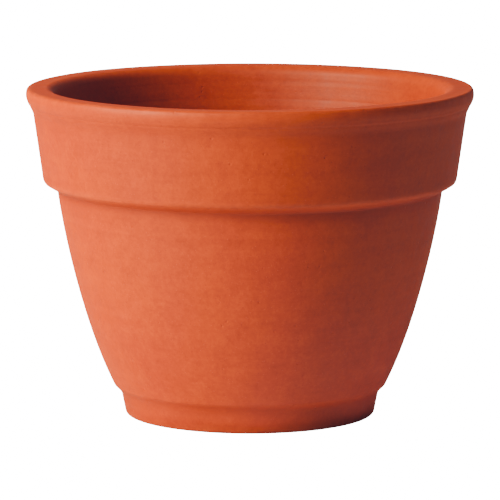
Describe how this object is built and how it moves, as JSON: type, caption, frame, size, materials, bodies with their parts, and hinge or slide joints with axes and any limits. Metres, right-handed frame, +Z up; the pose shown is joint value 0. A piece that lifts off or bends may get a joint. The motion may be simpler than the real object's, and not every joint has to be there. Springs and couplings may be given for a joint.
{
  "type": "flower pot",
  "caption": "Round bell-shaped terracotta flower pot with a broad collar, a rolled rim, a low foot and a drain hole.",
  "frame": {"origin": "centre of the plane that the foot rests on", "axes": "+Z up along the pot's axis of symmetry, towards the mouth; X and Y level, and any turn round Z is the same pot"},
  "size_m": [0.3, 0.3, 0.221],
  "materials": {
    "terracotta": "matte unglazed fired clay, faint turning lines"
  },
  "bodies": {
    "root": {"pot": "terracotta"}
  },
  "joints": []
}
